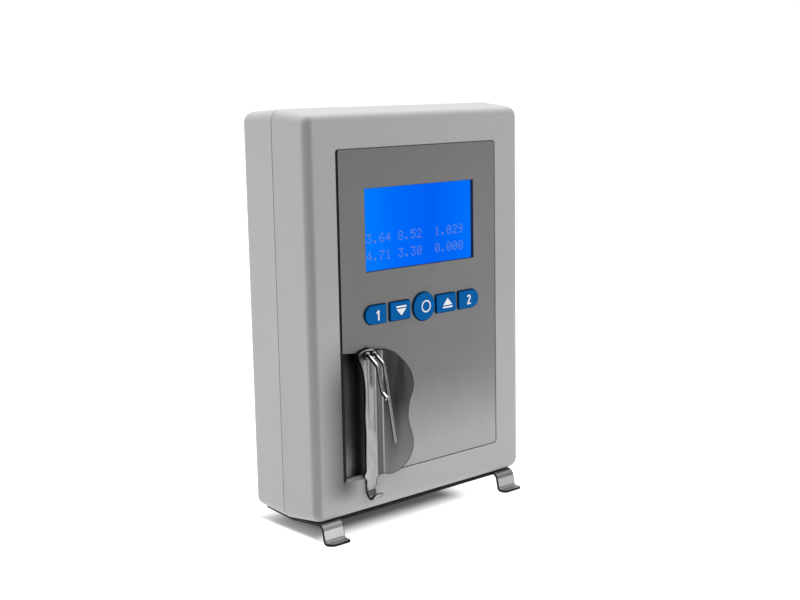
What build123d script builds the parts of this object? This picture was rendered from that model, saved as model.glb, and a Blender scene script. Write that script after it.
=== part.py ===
from build123d import *
import math
import os

# Countertop milk analyzer: upright plastic case with a brushed steel front
# plate, a backlit display, five keys, a sampling recess with a splash guard,
# two dipping tubes and a folded sheet stand.  Millimetres.
#
# Working frame: X to the right, Y into the case (0 at the case's front face),
# Z up with 0 at the middle of the front plate.  place() moves every finished
# piece to the shared frame: floor at Z = 0 and the origin under the middle of
# the bounding box.

# ---------------------------------------------------------------- dimensions
FLOOR_DROP = 106.8          # front plate middle above the floor
Y_CENTRE = 17.615             # middle of the depth of the whole object

CASE_W0, CASE_H0 = 138.1, 193.0     # front face before its edges are rounded
FRONT_X, FRONT_Z = -0.25, -0.2      # middle of the front face
CASE_W1, CASE_H1 = 144.0, 197.6     # at the seam
CASE_W2, CASE_H2 = 143.0, 194.6     # rear face
SEAM_Y = 23.0
SEAM_GAP = 0.5
CASE_D = 48.5
CASE_R = 5.2
EDGE_R = 4.7                # rounding round the front and the rear face
WALL = 2.5
FRONT_WALL = 3.6

PLATE_W, PLATE_H, PLATE_T = 102.6, 159.4, 1.2
PLATE_X = -0.1             # middle of the plate
PLATE_Y = 0.3               # plate face behind the case's front face
PLATE_R = 1.2
PLATE_GAP = 0.45
SEAT_X0, SEAT_X1 = -53.1, 51.6    # sides of the plate's seat in the case
RECESS_D = PLATE_Y + PLATE_T

WIN_W, WIN_H, WIN_Z = 72.0, 40.2, 40.9      # display opening in the plate

KEY_GAP = 0.22
KEY_PROUD = 1.1             # key face in front of the plate
KEY_TRAVEL = 0.8
KEY_H = 9.6
KEY_X = {"key_left": (-37.8, -24.1), "key_down": (-22.0, -8.5),
         "key_enter": (-6.7, 7.9), "key_up": (8.7, 22.5), "key_right": (24.2, 38.5)}

POCKET_X0, POCKET_X1 = -51.4, -38.3         # sampling recess
POCKET_Z0, POCKET_Z1 = -79.6, -16.0
POCKET_D = 4.6
SHEET = 1.0

TUBE_IN_X, TUBE_IN_OD, TUBE_IN_ID = -34.0, 1.8, 1.1
TUBE_OUT_X, TUBE_OUT_OD, TUBE_OUT_ID = -38.2, 2.2, 1.5
TUBE_Z = -18.9

STAND_T = 1.2
STAND_X0, STAND_X1 = -67.3, 63.2
FOOT_W = 12.2
FRONT_FEET_X = (-61.0, 57.0)        # middles of the front feet
REAR_FEET_X = (-45.0, 41.0)         # middles of the rear feet

PUMP_X, PUMP_Z = 28.0, -50.0
BOARD_Y = 33.0

os.makedirs("parts", exist_ok=True)
TOP = {}


def place(shape):
    return Pos(0, -Y_CENTRE, FLOOR_DROP) * shape


def keep(name, *shapes):
    """Write one node: one solid, or a group of separate solids."""
    solids = []
    for s in shapes:
        solids.extend(place(s).solids())
    out = solids[0] if len(solids) == 1 else Compound(children=solids)
    TOP[name] = out
    export_step(out, f"parts/{name}.step")


def box(x0, x1, y0, y1, z0, z1):
    return Pos((x0 + x1) / 2, (y0 + y1) / 2, (z0 + z1) / 2) * Box(
        abs(x1 - x0), abs(y1 - y0), abs(z1 - z0))


def ycyl(x, z, r, y0, y1):
    """Cylinder along Y from y0 to y1."""
    return Pos(x, (y0 + y1) / 2, z) * Rot(90, 0, 0) * Cylinder(r, abs(y1 - y0))


def zcyl(x, y, r, z0, z1):
    return Pos(x, y, (z0 + z1) / 2) * Cylinder(r, abs(z1 - z0))


def xcyl(y, z, r, x0, x1):
    return Pos((x0 + x1) / 2, y, z) * Rot(0, 90, 0) * Cylinder(r, abs(x1 - x0))


def xz(sketch, y0, y1):
    """Extrude a sketch drawn in X-Z (seen from the front) from y0 to y1."""
    pl = Plane(origin=(0, y0, 0), x_dir=(1, 0, 0), z_dir=(0, -1, 0))
    return extrude(pl * sketch, amount=-(y1 - y0))


def yz(sketch, x0, x1):
    """Extrude a sketch drawn in Y-Z (local x = Y, local y = Z)."""
    pl = Plane(origin=(x0, 0, 0), x_dir=(0, 1, 0), z_dir=(1, 0, 0))
    return extrude(pl * sketch, amount=x1 - x0)


def xy(sketch, z0, z1):
    return extrude(Plane(origin=(0, 0, z0)) * sketch, amount=z1 - z0)


def rr(w, h, r, x=0.0, z=0.0):
    return Pos(x, z) * RectangleRounded(w, h, r)


def rrect_xz(w, h, r, y0, y1, x=0.0, z=0.0):
    return xz(rr(w, h, r, x, z), y0, y1)


def loft_xz(a, b):
    """a, b = (y, w, h, r, x, z): a rounded box that changes size along Y."""
    faces = []
    for (y, w, h, r, *mid) in (a, b):
        x, z = mid or (0, 0)
        pl = Plane(origin=(x, y, z), x_dir=(1, 0, 0), z_dir=(0, -1, 0))
        faces.append(pl * RectangleRounded(w, h, r))
    return loft(faces)


def tube_path(points, radii):
    return FilletPolyline(*points, radius=radii)


def swept(points, radii, r):
    path = tube_path(points, radii)
    start = Plane(origin=path @ 0, z_dir=path % 0)
    return sweep(start * Circle(r), path=path)


def pipe(points, radii, ro, ri):
    return swept(points, radii, ro) - swept(points, radii, ri)


def side_line(points, radii, off):
    """Open line offset to the left of points by off, with its bends rounded."""
    def unit(a, b):
        d = math.hypot(b[0] - a[0], b[1] - a[1])
        return ((b[0] - a[0]) / d, (b[1] - a[1]) / d)
    dirs = [unit(points[i], points[i + 1]) for i in range(len(points) - 1)]
    out, rad = [], []
    for i, p in enumerate(points):
        if i == 0 or i == len(points) - 1:
            d = dirs[0] if i == 0 else dirs[-1]
            out.append((p[0] - d[1] * off, p[1] + d[0] * off))
            continue
        a, b = dirs[i - 1], dirs[i]
        cross = a[0] * b[1] - a[1] * b[0]
        dot = a[0] * b[0] + a[1] * b[1]
        k = off / (1 + dot)
        out.append((p[0] + (-a[1] - b[1]) * k, p[1] + (a[0] + b[0]) * k))
        rad.append(radii[i - 1] - off if cross > 0 else radii[i - 1] + off)
    if len(out) == 2:
        return Line(out[0], out[1])
    return FilletPolyline(*out, radius=rad)


def sheet_face(points, radii, t):
    """Outline of a bent sheet of thickness t along a centre line."""
    if len(radii) != len(points) - 2:
        radii = [radii[0]] * (len(points) - 2)
    a = side_line(points, radii, t / 2)
    b = side_line(points, radii, -t / 2)
    return make_face([a, Line(a @ 1, b @ 1), b, Line(b @ 0, a @ 0)])


def sheet_yz(points, radii, t, x0, x1):
    """Sheet of thickness t whose centre line runs in Y-Z, from x0 to x1."""
    return yz(sheet_face(points, radii, t), x0, x1)


# ------------------------------------------------------------------- casing
front_outer = loft_xz((0, CASE_W0, CASE_H0, CASE_R, FRONT_X, FRONT_Z),
                      (SEAM_Y, CASE_W1, CASE_H1, CASE_R + 0.6))
front_loop = front_outer.faces().sort_by(Axis.Y)[0].edges()
front_outer = fillet(front_loop, EDGE_R)
front_inner = loft_xz((FRONT_WALL, CASE_W0 - 2 * WALL, CASE_H0 - 2 * WALL, 3.0, FRONT_X, FRONT_Z),
                      (SEAM_Y + 0.01, CASE_W1 - 2 * WALL, CASE_H1 - 2 * WALL, 3.6))
front_shell = front_outer - front_inner
front_shell -= rrect_xz(SEAT_X1 - SEAT_X0, PLATE_H + 2 * PLATE_GAP,
                        PLATE_R + PLATE_GAP, -1, RECESS_D, (SEAT_X0 + SEAT_X1) / 2)
# plastic walls beside and below the sampling recess
front_shell += box(POCKET_X0 - 2.4, POCKET_X0 - 0.05, 3.4, 5.9, -82.0, -15.0)
front_shell += box(POCKET_X0 - 2.4, -36.0, 3.4, 5.9, -82.0, POCKET_Z0 - 0.05)
# openings behind the plate: display module, keys, sampling recess and tubes
front_shell -= box(-39.6, 39.6, 0, 6, 14.8, 67.0)
front_shell -= box(-40.6, 40.6, 0, 6, -9.4, 9.4)
front_shell -= box(POCKET_X0 - 0.05, -36.6, 0, 6, POCKET_Z0 - 0.05, -15.0)
front_shell -= box(-42.6, -29.6, 0, 6, -24.4, -13.4)
# blind screw posts for the case screws, rising from the front wall
CASE_SCREW_X, CASE_SCREW_Z = 60.5, 87.5
for sx in (-1, 1):
    for sz in (-1, 1):
        post = ycyl(sx * CASE_SCREW_X, sz * CASE_SCREW_Z, 3.6, 3.0, 22.0)
        post -= ycyl(sx * CASE_SCREW_X, sz * CASE_SCREW_Z, 1.25, 9.0, 23.0)
        front_shell += post
# posts under the key board
for x in (-36.0, 36.0):
    front_shell += ycyl(x, -11.5, 2.0, 3.4, 6.88)
# plate stud holes
STUDS = [(-30.0, 73.4), (30.0, 73.4), (44.0, -74.5), (-26.0, -74.5),
         (46.5, -2.0), (-46.5, -2.0)]
for (x, z) in STUDS:
    front_shell -= ycyl(x, z, 1.75, 0, 6)
# lip ledge inside the seam, takes the rear shell's tongue
front_shell -= (loft_xz((SEAM_Y - 3.0, CASE_W1 - 2 * 1.35, CASE_H1 - 2 * 1.35, 4.2),
                        (SEAM_Y + 0.01, CASE_W1 - 2 * 1.2, CASE_H1 - 2 * 1.2, 4.4)))
# screw holes in the underside, for the stand
for x in (-46.0, 44.0):
    front_shell -= Pos(x, 12.0, -97.6) * Rot(-6.5, 0, 0) * Cylinder(1.65, 14)
front_shell = front_shell.solids().sort_by(SortBy.VOLUME)[-1]
keep("front_shell", front_shell)

REAR_Y0 = SEAM_Y + SEAM_GAP
rear_outer = loft_xz((REAR_Y0, CASE_W1 - 0.1, CASE_H1 - 0.1, CASE_R + 0.6),
                     (CASE_D, CASE_W2, CASE_H2, CASE_R))
rear_loop = rear_outer.faces().sort_by(Axis.Y)[-1].edges()
rear_outer = fillet(rear_loop, 4.2)
rear_inner = loft_xz((REAR_Y0 - 0.01, CASE_W1 - 2 * WALL, CASE_H1 - 2 * WALL, 3.6),
                     (CASE_D - WALL, CASE_W2 - 2 * WALL, CASE_H2 - 2 * WALL, 3.0))
rear_shell = rear_outer - rear_inner
tongue = loft_xz((SEAM_Y - 2.6, CASE_W1 - 2 * 1.75, CASE_H1 - 2 * 1.75, 4.0),
                 (REAR_Y0 + 1.0, CASE_W1 - 2 * 1.6, CASE_H1 - 2 * 1.6, 4.0))
tongue -= loft_xz((SEAM_Y - 2.7, CASE_W1 - 2 * 2.9, CASE_H1 - 2 * 2.9, 3.2),
                  (REAR_Y0 + 1.1, CASE_W1 - 2 * 2.75, CASE_H1 - 2 * 2.75, 3.2))
rear_shell += tongue
# case screw posts with counterbores, open to the back
for sx in (-1, 1):
    for sz in (-1, 1):
        x, z = sx * CASE_SCREW_X, sz * CASE_SCREW_Z
        rear_shell += ycyl(x, z, 4.4, 22.3, CASE_D - 1.0)
        rear_shell -= ycyl(x, z, 1.7, 22.0, CASE_D + 1)
        rear_shell -= ycyl(x, z, 3.1, 30.0, CASE_D + 1)
# bosses for the main board, the pump bracket and the measuring cell
BOARD_SCREWS = [(-50, 4), (50, 4), (-50, 80), (50, 80)]
for (x, z) in BOARD_SCREWS:
    boss = ycyl(x, z, 3.2, BOARD_Y + 1.6, CASE_D - 1.5)
    boss -= ycyl(x, z, 1.2, BOARD_Y, CASE_D - 4.0)
    rear_shell += boss
    rear_shell -= ycyl(x, z, 1.2, BOARD_Y, CASE_D - 4.0)
PUMP_BOSSES = [(PUMP_X - 25.5, PUMP_Z + 19), (PUMP_X + 25.5, PUMP_Z + 19),
               (PUMP_X + 25.5, PUMP_Z - 19)]
for (x, z) in PUMP_BOSSES:
    rear_shell += ycyl(x, z, 3.0, 25.27, CASE_D - 1.5)
    rear_shell -= ycyl(x, z, 1.2, 25.0, 36.0)
CELL_BOSSES = [(-42.2, -33.6), (-23.8, -62.4)]
for (x, z) in CELL_BOSSES:
    rear_shell += ycyl(x, z, 3.0, 32.02, CASE_D - 1.5)
    rear_shell -= ycyl(x, z, 1.2, 31.0, 42.0)
# two ribs that carry the connector board
rear_shell += box(-44.5, -42.0, 27.0, CASE_D - 2.0, -97.2, -88.25)
rear_shell += box(4.0, 6.5, 27.0, CASE_D - 2.0, -97.2, -88.25)
# connector openings in the back
DSUB_X, CONN_Z = -30.0, -80.5
USB_X, JACK_X, ROCKER_X = 0.0, 22.0, 46.0
rear_shell -= rrect_xz(19.6, 10.6, 2.6, 40, 50, DSUB_X, CONN_Z)
for dx in (-12.495, 12.495):
    rear_shell -= ycyl(DSUB_X + dx, CONN_Z, 1.7, 40, 50)
rear_shell -= box(USB_X - 6.3, USB_X + 6.3, 40, 50, CONN_Z - 5.8, CONN_Z + 5.8)
rear_shell -= ycyl(JACK_X, CONN_Z, 4.1, 40, 50)
rear_shell -= box(ROCKER_X - 9.7, ROCKER_X + 9.7, 40, 50, CONN_Z - 6.7, CONN_Z + 6.7)
# flat land round the connectors, and cooling slots higher up
rear_shell -= rrect_xz(112, 19, 2.0, CASE_D - 0.6, CASE_D + 1, 8.5, CONN_Z)
for i in range(9):
    rear_shell -= rrect_xz(44, 2.2, 1.05, 40, 50, 0.0, 52.0 + 4.4 * i)
for x in (-30.0, 28.0):
    rear_shell -= Pos(x, 35.0, -98.3) * Rot(3.0, 0, 0) * Cylinder(1.65, 14)
rear_shell = rear_shell.solids().sort_by(SortBy.VOLUME)[-1]
keep("rear_shell", rear_shell)


def pan_screw(x, z, y_head, y_tip, head_r, shank_r, head_h):
    """Cross-recess screw along Y, head towards +Y."""
    s = ycyl(x, z, head_r, y_head - head_h, y_head)
    s = fillet(s.faces().sort_by(Axis.Y)[-1].edges(), head_h * 0.45)
    s += ycyl(x, z, shank_r, y_tip, y_head - head_h + 0.1)
    for a in (0, 90):
        s -= Pos(x, y_head, z) * Rot(0, a, 0) * Box(head_r * 1.2, 1.6, head_r * 0.28)
    return s


keep("case_screws", *[pan_screw(sx * CASE_SCREW_X, sz * CASE_SCREW_Z,
                                32.2, 10.0, 2.8, 1.25, 2.2)
                      for sx in (-1, 1) for sz in (-1, 1)])

# -------------------------------------------------------------- front plate
plate = rrect_xz(PLATE_W, PLATE_H, PLATE_R, PLATE_Y, PLATE_Y + PLATE_T, PLATE_X)
plate -= box(-WIN_W / 2, WIN_W / 2, -1, 3, WIN_Z - WIN_H / 2, WIN_Z + WIN_H / 2)


def d_outline(name, grow=0.0):
    """Key with a flat inner side and a half-round outer side."""
    x0, x1 = KEY_X[name]
    w, h = x1 - x0 + 2 * grow, KEY_H + 2 * grow
    r = h / 2
    body = Pos((w - r) / 2, 0) * Rectangle(w - r, h)
    body = fillet(body.vertices().sort_by(Axis.X)[0:2], 0.9)
    sk = body + Pos(w - r, 0) * Circle(r)
    if x0 < 0:
        return Pos(x1 + grow, 0) * mirror(sk, about=Plane.YZ)
    return Pos(x0 - grow, 0) * sk


def square_outline(name, grow=0.0):
    x0, x1 = KEY_X[name]
    return Pos((x0 + x1) / 2, 0) * RectangleRounded(x1 - x0 + 2 * grow, KEY_H + 2 * grow, 1.0 + grow)


def round_outline(name, grow=0.0):
    x0, x1 = KEY_X[name]
    return Pos((x0 + x1) / 2, 0) * Circle((x1 - x0) / 2 + grow)


KEYS = {
    "key_left": d_outline, "key_down": square_outline, "key_enter": round_outline,
    "key_up": square_outline, "key_right": d_outline,
}
KEY_C = {name: (x0 + x1) / 2 for name, (x0, x1) in KEY_X.items()}
for name, fn in KEYS.items():
    plate -= xz(fn(name, KEY_GAP), -1, 3)
# notch in front of the sampling recess, its upper edge slightly sloped
plate -= xz(make_face(Polyline((-53.0, -16.2), (POCKET_X1 + 0.05, -17.8),
                               (POCKET_X1 + 0.05, -81.0), (-53.0, -81.0), close=True)), -1, 3)
# slot for the two tubes
plate -= rrect_xz(10.6, 5.4, 2.6, -1, 3, -36.1, TUBE_Z)
for (x, z) in STUDS:
    plate += ycyl(x, z, 1.5, PLATE_Y + PLATE_T - 0.2, 8.0)
keep("front_plate", plate.solids().sort_by(SortBy.VOLUME)[-1])


def hex_nut(x, z, af, r, y0, y1):
    n = xz(Pos(x, z) * RegularPolygon(af / math.sqrt(3), 6), y0, y1)
    return n - ycyl(x, z, r, y0 - 1, y1 + 1)


keep("plate_nuts", *[hex_nut(x, z, 5.5, 1.52, 3.65, 6.05) for (x, z) in STUDS])

# ------------------------------------------- sampling recess (bent sheet)
PY = PLATE_Y + POCKET_D       # recess floor, seen from the front
liner = box(POCKET_X0, POCKET_X1 + SHEET, PY, PY + 0.9, POCKET_Z0, POCKET_Z1)
liner += box(POCKET_X1, POCKET_X1 + SHEET, PLATE_Y + PLATE_T + 0.02, PY + 0.9, POCKET_Z0, TUBE_Z - 3.4)
liner += box(POCKET_X0, -42.0, PLATE_Y + PLATE_T + 0.02, PY + 0.9, POCKET_Z1, POCKET_Z1 + 0.9)
# the right wall runs forward to the plate's face beside the plate
liner += box(POCKET_X1 - 0.85, POCKET_X1 + 0.0, PLATE_Y, PY + 0.9, POCKET_Z0, TUBE_Z - 3.4)
liner -= box(-40.4, -28.0, -1, 10, TUBE_Z - 3.5, -10.0)
keep("recess_liner", liner.solids().sort_by(SortBy.VOLUME)[-1])

# --------------------------------------------------------------- cup guard
# Cross-section seen from above: a flat strip beside the recess, a soft rib,
# a sharp valley, then a wide wing that leans slightly forward.
GUARD_Y = -0.55             # middle of the sheet at the strip
guard_pts = [(-43.6, GUARD_Y), (-37.2, GUARD_Y), (-33.6, -2.3), (-28.4, GUARD_Y - 0.05),
             (-4.0, -3.7)]
guard_face = sheet_face(guard_pts, [5.0, 3.2, 1.0], SHEET)
guard_band = xy(guard_face, -84.0, -12.0)
sil = [(-43.1, -18.0), (-41.0, -16.5), (-38.5, -15.9), (-36.8, -15.65), (-35.0, -15.45),
       (-34.2, -16.1), (-33.3, -16.7), (-31.5, -17.0), (-29.0, -17.35), (-26.0, -17.75),
       (-23.3, -18.3), (-21.2, -19.4), (-19.0, -21.1), (-15.9, -24.1), (-13.0, -27.6),
       (-10.7, -32.2), (-9.9, -36.1), (-10.3, -40.3), (-12.1, -44.6), (-13.0, -48.7),
       (-13.4, -52.6), (-13.1, -55.6), (-11.8, -60.2), (-10.7, -64.7), (-10.9, -69.6),
       (-12.8, -74.1), (-16.5, -77.9), (-20.6, -79.95), (-23.9, -80.6), (-28.6, -79.6),
       (-32.6, -79.1)]
left = [(-39.6, -76.5), (-39.5, -66.0), (-39.3, -57.0), (-39.6, -48.3), (-39.3, -42.0),
        (-39.15, -36.5), (-39.5, -31.2), (-40.4, -26.2), (-41.9, -22.0), (-43.1, -18.0)]
neck = Polyline(sil[-1], (-33.9, -80.3), (-34.3, -81.6), (-34.3, -84.0), (-39.6, -84.0),
                (-39.6, -80.7))
bulge = Spline((-39.6, -80.7), (-40.9, -79.1), left[0])
sil_face = make_face([Spline(*sil), neck, bulge, Spline(*left)])
guard = guard_band & xz(sil_face, -8, 6)
# oval hole that the tubes come through
guard -= rrect_xz(8.4, 3.7, 1.8, -8, 6, -36.1, TUBE_Z)
guard = guard.solids().sort_by(SortBy.VOLUME)[-1]
# tongue and hook that the cup's rim hangs on
hook_pts = [(GUARD_Y, -79.0), (GUARD_Y, -86.4), (-3.2, -91.1), (-7.3, -86.7)]
hook = sheet_yz(hook_pts, [4.5, 1.9], SHEET, -39.6, -34.3)
lip_trim = xz(Pos(-36.95, -88.0) * Rectangle(5.4, 6.0), -12, -4.6) \
    - xz(Pos(-36.95, -90.95) * RectangleRounded(5.3, 9.0, 1.5), -12, -4.6)
hook -= lip_trim
guard = guard + hook
guard = guard.solids().sort_by(SortBy.VOLUME)[-1]
keep("cup_guard", guard)

# ------------------------------------------------------ tubes and their block
block = rrect_xz(7.9, 3.2, 1.55, -1.3, 1.6, -36.1, TUBE_Z)
block += rrect_xz(9.9, 6.6, 1.6, 1.6, 8.6, -35.25, TUBE_Z)
block -= ycyl(TUBE_IN_X, TUBE_Z, TUBE_IN_OD / 2, -5, 12)
block -= ycyl(TUBE_OUT_X, TUBE_Z, TUBE_OUT_OD / 2, -5, 12)
keep("tube_block", block)

collar = [ycyl(x, TUBE_Z, r + 0.62, -2.3, -1.3) - ycyl(x, TUBE_Z, r, -5, 5)
          for (x, r) in ((TUBE_IN_X, TUBE_IN_OD / 2), (TUBE_OUT_X, TUBE_OUT_OD / 2))]
keep("tube_collars", *collar)

in_pts = [(TUBE_IN_X, 12.5, TUBE_Z), (TUBE_IN_X, -3.6, TUBE_Z), (TUBE_IN_X, -9.1, -22.4),
          (TUBE_IN_X, -16.5, -59.8)]
keep("intake_tube", pipe(in_pts, [4.0, 3.0], TUBE_IN_OD / 2, TUBE_IN_ID / 2))
out_pts = [(TUBE_OUT_X, 12.5, TUBE_Z), (TUBE_OUT_X, -3.6, TUBE_Z), (TUBE_OUT_X, -9.7, -23.0),
           (TUBE_OUT_X, -12.75, -35.2), (TUBE_OUT_X, -16.1, -37.5)]
keep("outlet_tube", pipe(out_pts, [4.0, 4.0, 2.6], TUBE_OUT_OD / 2, TUBE_OUT_ID / 2))

# ------------------------------------------------------------------ display
LCD_Y = 1.6                 # front of the metal bezel
bezel = box(-39.0, 39.0, LCD_Y, 9.0, WIN_Z - 25.5, WIN_Z + 25.5)
bezel -= box(-38.5, 38.5, LCD_Y + 0.5, 9.1, WIN_Z - 25.0, WIN_Z + 25.0)
bezel -= box(-36.4, 36.4, 0, 4, WIN_Z - 20.5, WIN_Z + 20.5)
keep("lcd_bezel", bezel)
keep("lcd_glass", box(-38.2, 38.2, LCD_Y + 0.5, LCD_Y + 2.7, WIN_Z - 24.7, WIN_Z + 24.7))
keep("lcd_backlight", box(-38.2, 38.2, LCD_Y + 2.75, 8.95, WIN_Z - 24.7, WIN_Z + 24.7))
lcd_board = box(-46.5, 46.5, 9.0, 10.6, WIN_Z - 35.0, WIN_Z + 35.0)
LCD_SCREWS = [(-44.0, WIN_Z - 32.0), (44.0, WIN_Z - 32.0), (-44.0, WIN_Z + 30.0), (44.0, WIN_Z + 30.0)]
for (x, z) in LCD_SCREWS:
    lcd_board -= ycyl(x, z, 1.6, 8, 12)
keep("lcd_board", lcd_board)
spacer = []
for (x, z) in LCD_SCREWS:
    spacer.append(hex_nut(x, z, 5.0, 1.3, FRONT_WALL, 9.0))
keep("lcd_spacers", *spacer)
LCD_SCREW_SOLIDS = [pan_screw(x, z, 12.4, 4.6, 2.5, 1.28, 1.8) for (x, z) in LCD_SCREWS]

# --------------------------------------------------------------------- keys
KEY_FACE = PLATE_Y - KEY_PROUD
FLANGE_Y = PLATE_Y + PLATE_T + 0.15


def flange_outline(name):
    """Lip behind the plate that keeps a key from falling out."""
    x0, x1 = KEY_X[name]
    if name == "key_enter":
        return Pos(KEY_C[name], 0) * (Circle((x1 - x0) / 2) + Rectangle(7.0, x1 - x0 + 2.2))
    return Pos(KEY_C[name], 0) * Rectangle(x1 - x0, KEY_H + 2.2)


for name, fn in KEYS.items():
    cap = xz(fn(name), KEY_FACE, FLANGE_Y + 0.2)
    cap = fillet(cap.faces().sort_by(Axis.Y)[0].edges(), 0.7)
    cap += xz(flange_outline(name), FLANGE_Y, FLANGE_Y + 0.8)
    cap += ycyl(KEY_C[name], 0.0, 1.6, FLANGE_Y, 5.0)
    keep(name, cap.solids().sort_by(SortBy.VOLUME)[-1])


# tray that guides the key stems, switches and their board
key_tray = box(-40.2, 40.2, 3.45, 4.25, -9.1, 5.6)
for cx in KEY_C.values():
    key_tray -= ycyl(cx, 0.0, 1.66, 0, 10)
for (x, z) in ((-38.6, -7.6), (38.6, -7.6), (-23.2, -7.8), (23.2, -7.8)):
    key_tray += ycyl(x, z, 1.0, 4.2, 6.9)
keep("key_tray", key_tray)
key_board = box(-41.5, 41.5, 6.9, 8.4, -13.5, 5.4)
keep("key_board", key_board)
switches = []
for cx in KEY_C.values():
    s = box(cx - 3.0, cx + 3.0, 6.3, 6.9, -3.0, 3.0)
    s += ycyl(cx, 0.0, 1.5, 5.85, 6.4)
    switches.append(s)
keep("key_switches", *switches)

# ------------------------------------------------------------------ boards
main_board = box(-56.0, 56.0, BOARD_Y, BOARD_Y + 1.6, -1.0, 85.0)
for (x, z) in BOARD_SCREWS:
    main_board -= ycyl(x, z, 1.7, BOARD_Y - 1, BOARD_Y + 3)
keep("main_board", main_board)


def head_forward(x, z, y_head, y_tip, head_r, shank_r, head_h):
    """Screw along Y with its head towards -Y."""
    s = ycyl(x, z, head_r, y_head, y_head + head_h)
    s += ycyl(x, z, shank_r, y_head + head_h - 0.1, y_tip)
    for a in (0, 90):
        s -= Pos(x, y_head, z) * Rot(0, a, 0) * Box(head_r * 1.2, 1.4, head_r * 0.28)
    return s


keep("board_screws", *LCD_SCREW_SOLIDS,
     *[head_forward(x, z, BOARD_Y - 1.8, 41.0, 2.5, 1.15, 1.8) for (x, z) in BOARD_SCREWS])
chips = [box(-12, 6, BOARD_Y - 2.6, BOARD_Y, 32, 50),
         box(18, 28, BOARD_Y - 1.8, BOARD_Y, 52, 60),
         box(18, 28, BOARD_Y - 1.8, BOARD_Y, 36, 44),
         box(-40, -28, BOARD_Y - 1.8, BOARD_Y, 56, 64),
         box(36, 44, BOARD_Y - 4.4, BOARD_Y, 20, 30)]
caps = []
for (x, z, r, h) in ((-42, 20, 5.0, 12.0), (-30, 20, 5.0, 12.0), (-40, 40, 3.2, 8.0)):
    c = ycyl(x, z, r, BOARD_Y - h, BOARD_Y)
    caps.append(fillet(c.faces().sort_by(Axis.Y)[0].edges(), 0.6))
keep("board_capacitors", *caps)
keep("beeper", ycyl(40, 66, 6.0, BOARD_Y - 9.0, BOARD_Y) - ycyl(40, 66, 1.0, BOARD_Y - 10, BOARD_Y - 7))
heads = [box(-20, 16, BOARD_Y - 6.0, BOARD_Y, 72, 80), box(-8, 10, BOARD_Y - 6.0, BOARD_Y, 6, 12)]
keep("board_components", *chips, *heads)
# flat cables to the display and to the key board
rib1 = sheet_yz([(10.9, 73.0), (17.0, 77.5), (22.0, 76.0), (26.9, 76.0)], [3.0, 3.0], 0.8, -16.0, 12.0)
rib2 = sheet_yz([(8.45, -9.5), (15.0, -9.5), (21.0, 9.0), (26.9, 9.0)], [3.0, 3.0], 0.8, -6.0, 8.0)
keep("flat_cables", rib1, rib2)

# ------------------------------------------------------------ measuring cell
# A metal block with a vertical bore between two ultrasonic transducers.
cell = box(-45.0, -21.0, 14.0, 32.0, -66.0, -30.0)
cell = chamfer(cell.edges().filter_by(Axis.Y), 1.2)
cell -= zcyl(-33.0, 23.0, 3.0, -61.0, -34.0)
for (x, z) in CELL_BOSSES:
    cell -= ycyl(x, z, 1.6, 13, 33)
for (x, y) in ((-34.0, 23.0), (-26.0, 23.0)):
    cell += zcyl(x, y, 0.9, -30.2, -24.5)
    cell -= zcyl(x, y, 0.55, -36.0, -20.0)
cell = cell.solids().sort_by(SortBy.VOLUME)[-1]
keep("measuring_cell", cell)
keep("cell_transducers", xcyl(23.0, -48.0, 8.0, -21.0, -18.4),
     xcyl(23.0, -48.0, 8.0, -47.6, -45.0))
keep("cell_heater", box(-44.0, -22.0, 12.4, 14.0, -57.0, -39.0))
CELL_SCREW_SOLIDS = [head_forward(x, z, 12.2, 40.0, 2.4, 1.15, 1.8) for (x, z) in CELL_BOSSES]

# --------------------------------------------------------- peristaltic pump
PX, PZ = PUMP_X, PUMP_Z
TRACK_R = 19.8
ROLLER_R, ROLLER_ORBIT = 4.0, 11.0
body = ycyl(PX, PZ, 23.0, 10.0, 24.0) + box(PX - 23.0, PX + 23.0, 10.0, 24.0, PZ, PZ + 24.0)
bore = ycyl(PX, PZ, TRACK_R, 9.0, 22.0) + box(PX - TRACK_R, PX + TRACK_R, 9.0, 22.0, PZ, PZ + 25.0)
body -= bore
body -= ycyl(PX, PZ, 3.4, 20.0, 25.0)
PUMP_COVER_SCREWS = [(PX - 21.4, PZ + 20.0), (PX + 21.4, PZ + 20.0)]
body += ycyl(PX, PZ - 21.3, 2.9, 10.0, 24.0)
body -= bore
for (x, z) in PUMP_COVER_SCREWS + [(PX, PZ - 22.0)]:
    body -= ycyl(x, z, 0.85, 9.0, 18.0)
keep("pump_housing", body.solids().sort_by(SortBy.VOLUME)[-1])
cover = ycyl(PX, PZ, 23.0, 8.4, 9.95) + box(PX - 23.0, PX + 23.0, 8.4, 9.95, PZ, PZ + 24.0)
cover += ycyl(PX, PZ - 21.3, 2.9, 8.4, 9.95)
for (x, z) in PUMP_COVER_SCREWS + [(PX, PZ - 22.0)]:
    cover -= ycyl(x, z, 1.1, 8.0, 11.0)
keep("pump_cover", cover)
keep("pump_screws", *[head_forward(x, z, 7.0, 16.0, 1.9, 0.85, 1.4)
                      for (x, z) in PUMP_COVER_SCREWS + [(PX, PZ - 22.0)]])
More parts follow.
